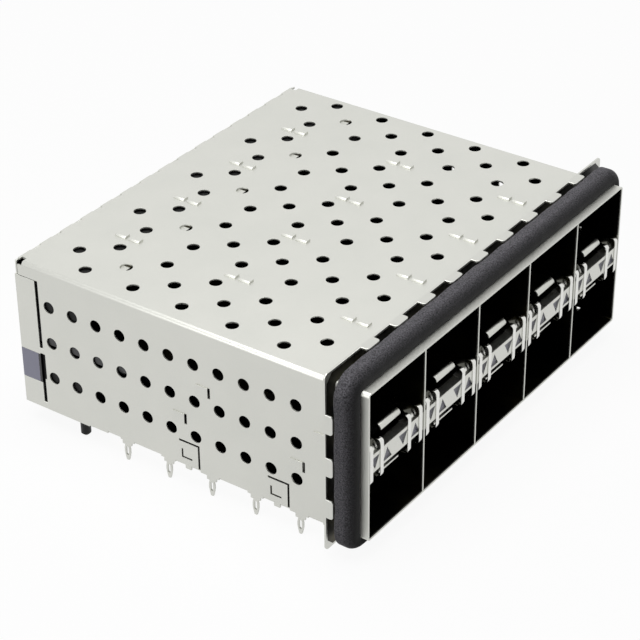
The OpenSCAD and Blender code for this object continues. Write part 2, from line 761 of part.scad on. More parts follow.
module gasket_flange() {
    color(bright_steel) from_front() {
        difference() {
            sheet_y(flange_y, sheet) nose_outline(flange_rise, 0.7, 0.7);
            sheet_y(flange_y - 1, sheet + 2) nose_outline();
        }
        top_lips();
        translate([0, 0, shell_top_z + nose_low_z]) mirror([0, 0, 1]) top_lips();
        both_sides() side_lips();
    }
}

// Section through the foam: outwards along x, to the rear along y, the outer front edge rounded.
module foam_section() {
    depth = flange_y - lip_length - gasket_y;
    polygon(concat(
        [[0, depth], [0, 0]],
        arc([gasket_r - gasket_edge_r, gasket_edge_r], gasket_edge_r, -90, 0, 8),
        [[gasket_r, depth]]
    ));
}

// The lower half of the foam round the nose, still filled inside, up to half its height.
module foam_half(x, low_z, middle_z) {
    both_sides() {
        translate([x, gasket_y, low_z]) rotate([-90, 0, 0]) rotate_extrude(angle = 90) foam_section();
        translate([x, gasket_y, low_z]) linear_extrude(middle_z - low_z) foam_section();
    }
    translate([0, gasket_y, low_z]) mirror([0, 0, 1]) sheet_x(-x, 2 * x) mirror([1, -1]) foam_section();
}

module foam_block() {
    x = half_w + flange_rise + 0.05 - gasket_r;
    low_z = nose_low_z - flange_rise - 0.05 + gasket_r;
    middle_z = (nose_low_z + shell_top_z) / 2;
    foam_half(x, low_z, middle_z);
    translate([0, 0, 2 * middle_z]) mirror([0, 0, 1]) foam_half(x, low_z, middle_z);
}

module front_gasket() {
    color(foam_grey) from_front() difference() {
        foam_block();
        sheet_y(gasket_y - 1, 6) nose_outline();
        for (d = [1 : columns - 1])
            for (z = [nose_low_z - 1, shell_top_z - eps])
                box([divider_x(d) - sheet / 2, hook_y[0], z], [divider_x(d) + sheet / 2, hook_y[1], z + 1]);
    }
}

// Nodes ---------------------------------------------------------------------------------------

cage_shell();
bottom_plate();
rear_cover();
gasket_flange();
front_gasket();
for (d = [1 : columns - 1]) {
    divider(d);
}
for (c = [1 : columns]) {
    separator(c);
    port_spring(c);
    light_pipe(c);
    connector(c);
    contacts(c);
}
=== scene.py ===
import logging
import math
from dataclasses import dataclass
from enum import Enum
from typing import Any, Callable, Iterable

import bmesh
import bpy
from mathutils import Matrix, Vector


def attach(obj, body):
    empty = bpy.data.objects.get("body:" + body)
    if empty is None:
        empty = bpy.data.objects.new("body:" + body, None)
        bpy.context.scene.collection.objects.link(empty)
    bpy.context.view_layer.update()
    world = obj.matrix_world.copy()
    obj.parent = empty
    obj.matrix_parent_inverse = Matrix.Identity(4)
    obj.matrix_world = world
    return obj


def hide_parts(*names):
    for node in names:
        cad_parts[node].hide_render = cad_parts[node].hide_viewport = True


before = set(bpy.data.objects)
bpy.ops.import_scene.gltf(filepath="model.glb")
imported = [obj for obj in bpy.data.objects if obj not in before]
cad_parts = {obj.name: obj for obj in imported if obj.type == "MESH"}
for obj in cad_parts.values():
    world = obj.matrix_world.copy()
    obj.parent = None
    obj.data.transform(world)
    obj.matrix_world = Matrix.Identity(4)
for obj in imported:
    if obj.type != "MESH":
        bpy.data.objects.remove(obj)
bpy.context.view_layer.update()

MM = 0.001  # metres in one millimetre
COLUMNS = 5  # port columns of the cage
FINE_EDGE_MM = 0.02  # rounding of the thinnest pieces
BROAD_EDGE_MM = 0.06  # rounding of the flange and the mouldings
WHITE = (1.0, 1.0, 1.0, 1.0)
LOG = logging.getLogger("sfp_cage")

Tree = bpy.types.NodeTree
Socket = bpy.types.NodeSocket
Edges = list[bmesh.types.BMEdge]


def linear(colour: str) -> tuple[float, float, float, float]:
    """Turns an sRGB hex colour into linear values for a shader.

    Args:
        colour: Six hex digits after a hash sign.

    Returns:
        Linear red, green and blue, and full opacity.
    """
    parts = [int(colour[i : i + 2], 16) / 255 for i in (1, 3, 5)]
    lit = [p / 12.92 if p <= 0.04045 else ((p + 0.055) / 1.055) ** 2.4 for p in parts]
    return (lit[0], lit[1], lit[2], 1.0)


def per_metre(size_mm: float) -> float:
    """Texture scale at which one feature has the given size in millimetres."""
    return 1.0 / (size_mm * MM)


def add_node(
    tree: Tree, kind: str, inputs: dict[Any, Any] | None = None, **settings: Any
) -> bpy.types.Node:
    """Adds one node with its settings, socket values and links.

    Args:
        tree: Node tree that takes the node.
        kind: Blender's name of the node type.
        inputs: Socket name or number to a plain value, or to an output socket to link from.
        settings: Attributes of the node itself.

    Returns:
        The new node.
    """
    node = tree.nodes.new(kind)
    for name, value in settings.items():
        setattr(node, name, value)
    for socket, value in (inputs or {}).items():
        if isinstance(value, Socket):
            tree.links.new(value, node.inputs[socket])
        else:
            node.inputs[socket].default_value = value
    return node


def worked(tree: Tree, operation: str, *values: Socket | float) -> Socket:
    """Works out one operation on sockets and plain values.

    Args:
        tree: Node tree that takes the node.
        operation: Blender's name of the operation.
        values: What goes in, in order.

    Returns:
        The result's socket.
    """
    return add_node(tree, "ShaderNodeMath", dict(enumerate(values)), operation=operation).outputs[0]


def mapped(
    tree: Tree,
    value: Socket,
    given: tuple[float, float] = (0.0, 1.0),
    wanted: tuple[float, float] = (0.0, 1.0),
) -> Socket:
    """Maps one range of a value evenly onto another and holds it at the ends.

    Args:
        tree: Node tree that takes the node.
        value: What is mapped.
        given: The value's range.
        wanted: The result's range.

    Returns:
        The result's socket.
    """
    limits = {
        "Value": value,
        "From Min": given[0],
        "From Max": given[1],
        "To Min": wanted[0],
        "To Max": wanted[1],
    }
    return add_node(tree, "ShaderNodeMapRange", limits).outputs["Result"]


def ramp(tree: Tree, value: Socket, none_mm: float, full_mm: float) -> Socket:
    """Rises from 0 to 1 as a coordinate goes from one place to another.

    Args:
        tree: Node tree that takes the node.
        value: The coordinate, in metres.
        none_mm: Where the ramp gives 0, in millimetres.
        full_mm: Where the ramp gives 1, in millimetres.

    Returns:
        The ramp's socket.
    """
    return mapped(tree, value, (none_mm * MM, full_mm * MM))


def blend(tree: Tree, share: Socket, none: Any, full: Any) -> Socket:
    """Mixes two colours.

    Args:
        tree: Node tree that takes the node.
        share: Share of the second colour.
        none: The colour at 0, plain or a socket.
        full: The colour at 1, plain or a socket.

    Returns:
        The mixed colour's socket.
    """
    colours = {"Factor": share, 6: none, 7: full}
    return add_node(tree, "ShaderNodeMix", colours, data_type="RGBA").outputs[2]


def noise(
    tree: Tree, place: Socket, size_mm: float, detail: float = 2.0, roughness: float = 0.5
) -> Socket:
    """Cloudy noise around 0.5.

    Args:
        tree: Node tree that takes the node.
        place: Coordinates that the noise is fixed to.
        size_mm: Size of its largest feature.
        detail: How many finer layers it has.
        roughness: How strong the finer layers are.

    Returns:
        The noise's socket.
    """
    inputs = {
        "Vector": place,
        "Scale": per_metre(size_mm),
        "Detail": detail,
        "Roughness": roughness,
    }
    return add_node(tree, "ShaderNodeTexNoise", inputs).outputs["Fac"]


def bump(tree: Tree, height: Socket, strength: float, depth_mm: float) -> Socket:
    """Tilts the surface as a height map would.

    Args:
        tree: Node tree that takes the node.
        height: The height map.
        strength: Share of the tilt that is kept.
        depth_mm: Height that the value 1 stands for.

    Returns:
        The normal's socket.
    """
    inputs = {"Height": height, "Strength": strength, "Distance": depth_mm * MM}
    return add_node(tree, "ShaderNodeBump", inputs).outputs["Normal"]


class Slot(Enum):
    """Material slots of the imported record."""

    CAGE = "cage_steel"
    SPRING = "spring_steel"
    FOAM = "gasket_foam"
    PIPE = "light_pipe_plastic"
    HOUSING = "connector_plastic"
    CONTACT = "contact_alloy"


@dataclass(frozen=True)
class PaintedShadeRoom:
    """The space inside the cage, which sees hardly any light: its shade is painted into the colour
    of the pieces there.

    Places and lengths are in millimetres, in the part's frame.

    Attributes:
        half_w: Reach to either side.
        low_z: Floor.
        high_z: Ceiling.
        front_y: Front end.
        rear_y: Rear end.
        soft_y: Depth over which the dark grows behind the front end.
        soft: Width over which it grows at the other borders.
        bright_z: Levels between which the stops under the top panel are kept out of the painted
            shade.
        bright_x: Where that fades out, to the right of each column's middle; past it the stops get
            painted shade.
        pitch: Spacing of the columns.
        corner_reach: Sideways and upward distances from the middle, added, where corners are cut.
        middle_z: Level of the cage's middle.
    """

    half_w: float = 35.3
    low_z: float = 0.8
    high_z: float = 25.5
    front_y: float = -53.0
    rear_y: float = 10.5
    soft_y: float = 0.3
    soft: float = 0.05
    bright_z: tuple[float, float] = (25.05, 25.42)
    bright_x: tuple[float, float] = (1.1, 1.22)
    pitch: float = 14.25
    corner_reach: float = 60.0
    middle_z: float = 13.3

    def mask(self, tree: Tree, place: Socket) -> Socket:
        """Share of painted shade: one inside the space, zero outside it.

        Args:
            tree: Node tree that takes the nodes.
            place: Object coordinates.

        Returns:
            The mask's socket.
        """
        axes = add_node(tree, "ShaderNodeSeparateXYZ", {"Vector": place}).outputs
        spread = worked(tree, "ABSOLUTE", axes["X"])
        half_pitch = self.pitch / 2 * MM
        bay = worked(tree, "WRAP", axes["X"], half_pitch, -half_pitch)
        # painted shade on the right halves of the stops under the top panel; their left halves keep
        # the bright colour
        shelf = ramp(tree, bay, *self.bright_x)
        for level, side in zip(self.bright_z, (-1, 1)):
            beyond = ramp(tree, axes["Z"], level, level + side * self.soft)
            shelf = worked(tree, "MAXIMUM", shelf, beyond)
        height = worked(tree, "SUBTRACT", axes["Z"], self.middle_z * MM)
        corner = worked(tree, "ADD", spread, worked(tree, "ABSOLUTE", height))
        inside = ramp(tree, spread, self.half_w, self.half_w - self.soft)
        for edge in (
            shelf,
            ramp(tree, corner, self.corner_reach, self.corner_reach - self.soft),
            ramp(tree, axes["Z"], self.low_z, self.low_z + self.soft),
            ramp(tree, axes["Z"], self.high_z, self.high_z - self.soft),
            ramp(tree, axes["Y"], self.front_y, self.front_y + self.soft_y),
            ramp(tree, axes["Y"], self.rear_y, self.rear_y - self.soft),
        ):
            inside = worked(tree, "MULTIPLY", inside, edge)
        return inside


@dataclass(frozen=True)
class Finish:
    """A finish that makes its own Blender material."""

    name: str

    def material(self) -> bpy.types.Material:
        """Makes the material once and returns it on later calls."""
        made = bpy.data.materials.get(self.name)
        if made is None:
            made = bpy.data.materials.new(self.name)
            made.use_nodes = True
            tree = made.node_tree
            tree.nodes.clear()
            place = add_node(tree, "ShaderNodeTexCoord").outputs["Object"]
            surface = self.shade(tree, place)
            add_node(tree, "ShaderNodeOutputMaterial", {"Surface": surface})
        return made

    def shade(self, tree: Tree, place: Socket) -> Socket:
        """Builds the shader.

        Args:
            tree: Node tree of the material.
            place: Object coordinates.

        Returns:
            The shader's output socket.
        """
        raise NotImplementedError


@dataclass(frozen=True)
class TinPlatedSheet(Finish):
    """Tin-plated rolled sheet: satin pale grey; dull and dark inside the cage, where shade and
    mottled reflections are painted into its colour.
    """

    colour: str = "#d0d0ca"
    cloud_colour: str = "#c8c9c3"
    # painted shade inside the cage, clouded with painted brownish reflections
    painted_shade_colour: str = "#1c1b18"
    painted_reflection_colour: str = "#48432f"
    roughness: float = 0.45
    inner_roughness: float = 0.3
    roughness_spread: tuple[float, float] = (0.9, 1.1)
    cloud_mm: float = 7.0
    cloud_detail: float = 4.0
    cloud_span: tuple[float, float] = (0.45, 0.7)
    grain_mm: float = 0.25
    grain_span: tuple[float, float] = (0.3, 0.7)
    grain_strength: float = 0.15
    grain_depth_mm: float = 0.004
    room: PaintedShadeRoom = PaintedShadeRoom()

    def shade(self, tree: Tree, place: Socket) -> Socket:
        """Clouded plating with a fine even grain, with painted shade and painted mottled
        reflections inside the cage.
        """
        clouds = noise(tree, place, self.cloud_mm, self.cloud_detail)
        grain = noise(tree, place, self.grain_mm)
        # painted shade and painted mottled reflections, by place inside the cage
        inside = self.room.mask(tree, place)
        tint = blend(tree, clouds, linear(self.colour), linear(self.cloud_colour))
        painted_reflection_share = mapped(tree, clouds, self.cloud_span)
        painted_shade = blend(
            tree, painted_reflection_share, linear(self.painted_shade_colour), linear(self.painted_reflection_colour)
        )
        smoother, duller = self.roughness_spread
        satin = mapped(
            tree, grain, self.grain_span, (self.roughness * smoother, self.roughness * duller)
        )
        roughness = add_node(
            tree,
            "ShaderNodeMix",
            {"Factor": inside, 2: satin, 3: self.inner_roughness},
            data_type="FLOAT",
        )
        plating = {
            "Base Color": blend(tree, inside, tint, painted_shade),
            "Metallic": 1.0,
            "Roughness": roughness.outputs[0],
            "Normal": bump(tree, grain, self.grain_strength, self.grain_depth_mm),
        }
        return add_node(tree, "ShaderNodeBsdfPrincipled", plating).outputs["BSDF"]


@dataclass(frozen=True)
class BrightSpringStrip(Finish):
    """Bright rolled spring strip: nearly a mirror, with hairline rolling marks."""

    colour: str = "#dededa"
    # painted shade and painted dark reflection on the bows behind the front
    painted_shade_colour: str = "#55554f"
    roughness: float = 0.2
    roughness_spread: tuple[float, float] = (0.7, 1.4)
    hairline_mm: float = 0.12
    hairline_scale: tuple[float, float, float] = (1.0, 0.08, 0.08)
    room: PaintedShadeRoom = PaintedShadeRoom(front_y=-52.35, soft_y=0.15)

    def shade(self, tree: Tree, place: Socket) -> Socket:
        """Bright metal whose roughness varies in hairlines, with painted shade inside the cage for
        the dark that it mirrors there.
        """
        drawn_out = {"Vector": place, "Scale": self.hairline_scale}
        rolled = add_node(tree, "ShaderNodeMapping", drawn_out).outputs["Vector"]
        hairlines = noise(tree, rolled, self.hairline_mm)
        smoother, duller = self.roughness_spread
        limits = (self.roughness * smoother, self.roughness * duller)
        # painted shade inside the cage, for the dark that the bows mirror
        inside = self.room.mask(tree, place)
        metal = {
            "Base Color": blend(tree, inside, linear(self.colour), linear(self.painted_shade_colour)),
            "Metallic": 1.0,
            "Roughness": mapped(tree, hairlines, wanted=limits),
        }
        return add_node(tree, "ShaderNodeBsdfPrincipled", metal).outputs["BSDF"]


@dataclass(frozen=True)
class FoamSponge(Finish):
    """Conductive open-cell foam, cut and glued: charcoal with pale specks of cell walls, and
    painted shade at the ring's foot and front.
    """

    dark: str = "#1d1c1f"
    pale: str = "#807e84"
    foot_shade_colour: str = "#0b0b0c"
    cell_mm: float = 0.22
    cell_detail: float = 4.0
    cell_roughness: float = 0.75
    cell_span: tuple[float, float] = (0.35, 0.7)
    cell_strength: float = 0.5
    cell_depth_mm: float = 0.08
    speck_mm: float = 0.45
    speck_span: tuple[float, float] = (0.05, 0.2)
    speck_share: float = 0.35
    roughness: float = 0.95
    gloss: float = 0.2
    fuzz: float = 0.15
    fuzz_roughness: float = 0.6
    nose_half_w: float = 35.5
    nose_z: tuple[float, float] = (0.9, 25.7)
    foot_shade_y: tuple[float, float] = (-51.9, -50.2)
    foot_shade_rise: tuple[float, float] = (0.3, 1.6)

    def outside_foot_shade(self, tree: Tree, place: Socket) -> Socket:
        """Zero where shade is painted, at the foot by the nose and at the front of the ring, one
        elsewhere.

        Args:
            tree: Node tree that takes the nodes.
            place: Object coordinates.

        Returns:
            The mask's socket.
        """
        axes = add_node(tree, "ShaderNodeSeparateXYZ", {"Vector": place}).outputs
        spread = worked(tree, "ABSOLUTE", axes["X"])
        near, far = self.foot_shade_rise
        low, high = self.nose_z
        beside = ramp(tree, spread, self.nose_half_w + near, self.nose_half_w + far)
        above = ramp(tree, axes["Z"], high + near, high + far)
        below = ramp(tree, axes["Z"], low - near, low - far)
        outward = worked(tree, "MAXIMUM", worked(tree, "MAXIMUM", beside, above), below)
        return worked(tree, "MULTIPLY", outward, ramp(tree, axes["Y"], *self.foot_shade_y))

    def shade(self, tree: Tree, place: Socket) -> Socket:
        """Fine torn cells with pale specks, and near-black painted shade at the ring's foot and
        front.
        """
        cells = noise(tree, place, self.cell_mm, self.cell_detail, self.cell_roughness)
        specks = add_node(
            tree, "ShaderNodeTexVoronoi", {"Vector": place, "Scale": per_metre(self.speck_mm)}
        ).outputs["Distance"]
        walls = add_node(
            tree,
            "ShaderNodeMath",
            {
                0: mapped(tree, cells, self.cell_span),
                1: mapped(tree, specks, self.speck_span, (self.speck_share, 0.0)),
            },
            operation="ADD",
            use_clamp=True,
        ).outputs[0]
        cut = blend(tree, walls, linear(self.dark), linear(self.pale))
        foam = {
            # painted shade: near-black at the ring's foot by the nose and at its front
            "Base Color": blend(tree, self.outside_foot_shade(tree, place), linear(self.foot_shade_colour), cut),
            "Roughness": self.roughness,
            "Specular IOR Level": self.gloss,
            "Sheen Weight": self.fuzz,
            "Sheen Roughness": self.fuzz_roughness,
            "Normal": bump(tree, cells, self.cell_strength, self.cell_depth_mm),
        }
        return add_node(tree, "ShaderNodeBsdfPrincipled", foam).outputs["BSDF"]


@dataclass(frozen=True)
class MouldedPlastic(Finish):
    """Injection-moulded thermoplastic with a fine spark-eroded skin."""

    colour: str
    painted_shade_colour: str
    ior: float
    roughness: float = 0.45
    roughness_spread: tuple[float, float] = (0.8, 1.2)
    grain_mm: float = 0.15
    grain_strength: float = 0.3
    grain_depth_mm: float = 0.01
    room: PaintedShadeRoom = PaintedShadeRoom()

    def shade(self, tree: Tree, place: Socket) -> Socket:
        """One resin whose gloss and skin vary with the grain, with painted shade inside the cage.
        """
        grain = noise(tree, place, self.grain_mm)
        smoother, duller = self.roughness_spread
        limits = (self.roughness * smoother, self.roughness * duller)
        # painted shade inside the cage
        inside = self.room.mask(tree, place)
        resin = {
            "Base Color": blend(tree, inside, linear(self.colour), linear(self.painted_shade_colour)),
            "Roughness": mapped(tree, grain, wanted=limits),
            "IOR": self.ior,
            "Normal": bump(tree, grain, self.grain_strength, self.grain_depth_mm),
        }
        return add_node(tree, "ShaderNodeBsdfPrincipled", resin).outputs["BSDF"]


@dataclass(frozen=True)
class PlatedContact(Finish):
    """Gold flash over nickel on stamped phosphor bronze."""

    gold: str = "#c8a45a"
    tin: str = "#b9b9b4"
    tail_z: tuple[float, float] = (1.5, 2.5)
    roughness: float = 0.22

    def shade(self, tree: Tree, place: Socket) -> Socket:
        """Gold at the mating end, tin on the tails that go into the board."""
        height = add_node(tree, "ShaderNodeSeparateXYZ", {"Vector": place}).outputs["Z"]
        above_tails = ramp(tree, height, *self.tail_z)
        plating = {
            "Base Color": blend(tree, above_tails, linear(self.tin), linear(self.gold)),
            "Metallic": 1.0,
            "Roughness": self.roughness,
        }
        return add_node(tree, "ShaderNodeBsdfPrincipled", plating).outputs["BSDF"]


# painted shade on the cage sheets inside the cage
CAGE_SHEET = TinPlatedSheet("tin_plated_cage_sheet")
# painted shade on the separators behind their front plate
SEPARATOR_SHEET = TinPlatedSheet(
    "tin_plated_separator_sheet", roughness=0.3, room=PaintedShadeRoom(front_y=-51.5)
)
# painted shade and painted reflection of the dark foam on the flange's front face between the lips;
# the lips and corner tips stay pale
FLANGE_SHEET = TinPlatedSheet(
    "tin_plated_flange_strip",
    roughness=0.35,
    room=PaintedShadeRoom(
        half_w=37.6,
        low_z=-1.2,
        high_z=27.8,
        front_y=-60.0,
        rear_y=-47.3,
        bright_z=(30.0, 30.0),
        corner_reach=50.8,
    ),
)
# painted shade on the springs' bows behind the front
SPRING_STRIP = BrightSpringStrip("bright_spring_strip")
GASKET_FOAM = FoamSponge("conductive_foam")
# painted shade on the light pipes inside the cage
PIPE_RESIN = MouldedPlastic(
    "moulded_clear_grey_polycarbonate",
    colour="#9c9cb0",
    painted_shade_colour="#0c0c12",
    ior=1.58,
    roughness=0.25,
    room=PaintedShadeRoom(half_w=35.7, front_y=-52.0, rear_y=7.4),
)
HOUSING_RESIN = MouldedPlastic(
    "moulded_black_liquid_crystal_polymer", colour="#070708", painted_shade_colour="#070708", ior=1.3
)
CONTACT_METAL = PlatedContact("gold_and_tin_plated_contact")


def finish_piece(piece: bpy.types.Object, slot: Slot, finish: Finish) -> bpy.types.Object:
    """Gives a piece its material and its body.

    Args:
        piece: The piece, in place.
        slot: The record's material slot; not used.
        finish: The finish that makes the material.

    Returns:
        The same piece.
    """
    piece.data.materials.clear()
    piece.data.materials.append(finish.material())
    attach(piece, "root")
    return piece


def mesh_object(name: str, mesh: bmesh.types.BMesh, sharp_deg: float = 35.0) -> bpy.types.Object:
    """Turns a bmesh into a shaded object at the origin.

    Args:
        name: Name of the piece.
        mesh: The geometry, in metres; it is freed.
        sharp_deg: Edges that turn more than this stay sharp.

    Returns:
        The new object, linked to the scene.
    """
    for edge in mesh.edges:
        turned = len(edge.link_faces) == 2 and edge.calc_face_angle(0.0) > math.radians(sharp_deg)
        edge.smooth = not turned
    data = bpy.data.meshes.new(name)
    mesh.to_mesh(data)
    mesh.free()
    made = bpy.data.objects.new(name, data)
    bpy.context.scene.collection.objects.link(made)
    return made


@dataclass
class RoundedCopy:
    """A finer stand-in for a CAD node: its sharp edges get the small radius of the real piece.

    Attributes:
        node: Name of the CAD node.
        slot: The record's material slot.
        finish: Finish of the piece.
        edge_mm: Width of the rounding.
        segments: Facets across the rounding.
        flat_deg: Faces that turn less than this are one flat face.
        edge_deg: Edges that turn more than this are rounded.
        weld_mm: Points nearer than this are one point.
        sliver_mm: Edges shorter than this are taken out.
    """

    node: str
    slot: Slot
    finish: Finish
    edge_mm: float = 0.04
    segments: int = 2
    flat_deg: float = 0.6
    edge_deg: float = 32.0
    weld_mm: float = 0.001
    sliver_mm: float = 0.0005

    def mesh(self) -> bmesh.types.BMesh:
        """Merges the node's triangles, joins the flat ones and bevels what is left sharp."""
        flat, turned = math.radians(self.flat_deg), math.radians(self.edge_deg)
        made = bmesh.new()
        made.from_mesh(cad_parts[self.node].data)
        bmesh.ops.remove_doubles(made, verts=made.verts[:], dist=self.weld_mm * MM)
        bmesh.ops.dissolve_degenerate(made, dist=self.sliver_mm * MM, edges=made.edges[:])
        bmesh.ops.dissolve_limit(
            made, angle_limit=flat, verts=made.verts[:], edges=made.edges[:]
        )
        for face in made.faces:
            square_on = max(abs(part) for part in face.normal) > math.cos(flat)
            curved = any(flat < edge.calc_face_angle(0.0) < turned for edge in face.edges)
            face.smooth = curved and not square_on
        sharp = [edge for edge in made.edges if edge.calc_face_angle(0.0) > turned]
        rounded = bmesh.ops.bevel(
            made,
            geom=sharp,
            offset=self.edge_mm * MM,
            offset_type="OFFSET",
            segments=self.segments,
            profile=0.5,
            affect="EDGES",
            clamp_overlap=True,
            material=-1,
        )["faces"]
        for face in rounded:
            face.smooth = True
        return made

    def build(self) -> bpy.types.Object:
        """Makes the piece and lets it stand for its CAD node."""
        piece = mesh_object(f"{self.node}_finished", self.mesh())
        finish_piece(piece, self.slot, self.finish)
        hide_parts(self.node)
        return piece


@dataclass
class FoamGasket:
    """The foam ring: one section led round the nose, pinched where the flange's lips press.

    Places and lengths are in millimetres, in the part's frame.

    Attributes:
        half_w: Half the width that the ring goes round.
        low_z: Lower side that it goes round.
        high_z: Upper side that it goes round.
        front_y: Front of the foam.
        depth: Its depth behind the front.
        rise: Its thickness away from the nose.
        corner_r: Outer radius of the ring's corners.
        edge_r: Radius of the front outer edge.
        edge_steps: Facets round that edge.
        small_r: Radius of the section's other edges.
        small_steps: Facets round those edges.
        step: Longest step of a straight run.
        corner_steps: Steps round a corner.
        weld: Points nearer than this are one point.
        sharp_deg: Edges that turn more than this stay sharp.
        lip_pitch: Spacing of the flange's lips.
        lip_x: Place of one lip of the long sides.
        lip_z: Place of one lip of the short sides.
        corner_clear: Stretch beside each corner that no lip pinches.
        pinch: How deep the foam is pressed in.
        lump: Size of the uneven lumps of cut foam.
        lump_rise: How far the lumps rise and fall.
        lump_middle: Lump height, as a share of the highest, that leaves the surface in place.
        fill: Share of its box that the foam fills; not used.
    """

    half_w: float = 35.5
    low_z: float = 0.9
    high_z: float = 25.7
    front_y: float = -51.8
    depth: float = 3.05
    rise: float = 2.45
    corner_r: float = 3.7
    edge_r: float = 1.6
    edge_steps: int = 8
    small_r: float = 0.25
    small_steps: int = 3
    step: float = 0.6
    corner_steps: int = 14
    weld: float = 0.01
    sharp_deg: float = 80.0
    lip_pitch: float = 7.15
    lip_x: float = 0.8
    lip_z: float = 13.03
    corner_clear: float = 2.0
    pinch: float = 0.16
    lump: float = 3.5
    lump_rise: float = 0.18
    lump_middle: float = 0.75
    fill: float = 0.9

    def section(self, mesh: bmesh.types.BMesh) -> Edges:
        """Draws the section's outline at the start of the ring's lower side.

        Args:
            mesh: The mesh that takes the outline.

        Returns:
            The outline's edges.
        """
        small = (self.small_r, self.small_steps)
        corners = [
            (0.0, 0.0, small),
            (self.rise, 0.0, (self.edge_r, self.edge_steps)),
            (self.rise, self.depth, small),
            (0.0, self.depth, small),
        ]
        verts = [
            mesh.verts.new((0.0, self.front_y + back, self.low_z - out)) for out, back, _ in corners
        ]
        mesh.faces.new(verts)
        for vert, (_, _, (radius, steps)) in zip(verts, corners):
            bmesh.ops.bevel(
                mesh,
                geom=[vert],
                offset=radius,
                offset_type="OFFSET",
                segments=steps,
                profile=0.5,
                affect="VERTICES",
                material=-1,
            )
        bmesh.ops.delete(mesh, geom=mesh.faces[:], context="FACES_ONLY")
        return mesh.edges[:]

    def run(self, mesh: bmesh.types.BMesh, edges: Edges, along: Vector) -> Edges:
        """Extends the section straight, in short steps.

        Args:
            mesh: The ring so far.
            edges: The section's edges at its end.
            along: The whole straight run.

        Returns:
            The section's edges at the new end.
        """
        steps = max(1, round(along.length / self.step))
        for _ in range(steps):
            grown = bmesh.ops.extrude_edge_only(mesh, edges=edges)["geom"]
            ends = {part for part in grown if isinstance(part, bmesh.types.BMVert)}
            bmesh.ops.translate(mesh, verts=list(ends), vec=along / steps)
            sides = [part for part in grown if isinstance(part, bmesh.types.BMEdge)]
            edges = [side for side in sides if side.verts[0] in ends and side.verts[1] in ends]
        return edges

    def turn(self, mesh: bmesh.types.BMesh, edges: Edges, centre: Vector) -> Edges:
        """Leads the section round a corner.

        Args:
            mesh: The ring so far.
            edges: The section's edges at its end.
            centre: Centre of the corner.

        Returns:
            The section's edges after the corner.
        """
        turned = bmesh.ops.spin(
            mesh,
            geom=edges,
            cent=centre,
            axis=(0.0, -1.0, 0.0),
            dvec=(0.0, 0.0, 0.0),
            angle=math.radians(90),
            steps=self.corner_steps,
            use_duplicate=False,
        )["geom_last"]
        return [part for part in turned if isinstance(part, bmesh.types.BMEdge)]

    def press(self, mesh: bmesh.types.BMesh) -> None:
        """Pinches the foam at the lips and leaves it full between them.

        Args:
            mesh: The whole ring.
        """
        middle_z = (self.low_z + self.high_z) / 2
        straight_z = middle_z - self.low_z - self.corner_clear
        straight_x = self.half_w - self.corner_clear
        for vert in mesh.verts:
            x, y, z = vert.co
            back = min(1.0, max(0.0, (y - self.front_y) / self.depth))
            if abs(z - middle_z) < straight_z:
                phase = (z - self.lip_z) / self.lip_pitch
                out = Vector((math.copysign(1.0, x), 0.0, 0.0))
                rise = abs(x) - self.half_w
            elif abs(x) < straight_x:
                phase = (x - self.lip_x) / self.lip_pitch
                out = Vector((0.0, 0.0, math.copysign(1.0, z - middle_z)))
                rise = abs(z - middle_z) - (middle_z - self.low_z)
            else:
                continue
            share = back * max(0.0, rise) / self.rise
            vert.co -= out * self.pinch * (0.5 + 0.5 * math.cos(2 * math.pi * phase)) * share

    def ring(self) -> bmesh.types.BMesh:
        """Leads the section once round the nose and presses it, in metres."""
        mesh = bmesh.new()
        edges = self.section(mesh)
        inner_r = self.corner_r - self.rise
        reach = self.half_w - inner_r
        low, high = self.low_z + inner_r, self.high_z - inner_r
        across, up = Vector((2 * reach, 0.0, 0.0)), Vector((0.0, 0.0, high - low))
        edges = self.run(mesh, edges, across / 2)
        edges = self.turn(mesh, edges, Vector((reach, 0.0, low)))
        edges = self.run(mesh, edges, up)
        edges = self.turn(mesh, edges, Vector((reach, 0.0, high)))
        edges = self.run(mesh, edges, -across)
        edges = self.turn(mesh, edges, Vector((-reach, 0.0, high)))
        edges = self.run(mesh, edges, -up)
        edges = self.turn(mesh, edges, Vector((-reach, 0.0, low)))
        self.run(mesh, edges, across / 2)
        bmesh.ops.remove_doubles(mesh, verts=mesh.verts[:], dist=self.weld)
        self.press(mesh)
        bmesh.ops.scale(mesh, vec=(MM, MM, MM), verts=mesh.verts[:])
        bmesh.ops.recalc_face_normals(mesh, faces=mesh.faces[:])
        for face in mesh.faces:
            face.smooth = True
        return mesh

    def build(self) -> bpy.types.Object:
        """Makes the ring and lets it stand for the CAD gasket."""
        piece = mesh_object("foam_gasket_ring", self.ring(), self.sharp_deg)
        texture = bpy.data.textures.new("foam_unevenness", "CLOUDS")
        texture.noise_scale = self.lump * MM
        push = piece.modifiers.new("unevenness", "DISPLACE")
        push.texture = texture
        push.texture_coords = "LOCAL"
        push.strength = self.lump_rise * MM
        push.mid_level = self.lump_middle
        finish_piece(piece, Slot.FOAM, GASKET_FOAM)
        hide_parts("front_gasket")
        return piece


@dataclass
class CageSheets:
    """The folded and stamped sheets that make the cage."""

    def build(self) -> Iterable[bpy.types.Object]:
        """Yields each finished sheet."""
        for node in ("cage_shell", "bottom_plate", "rear_cover"):
            yield RoundedCopy(node, Slot.CAGE, CAGE_SHEET).build()
        for gap in range(1, COLUMNS):
            yield RoundedCopy(f"divider_{gap}", Slot.CAGE, CAGE_SHEET, FINE_EDGE_MM).build()
        for column in range(1, COLUMNS + 1):
            yield RoundedCopy(f"separator_{column}", Slot.CAGE, SEPARATOR_SHEET).build()


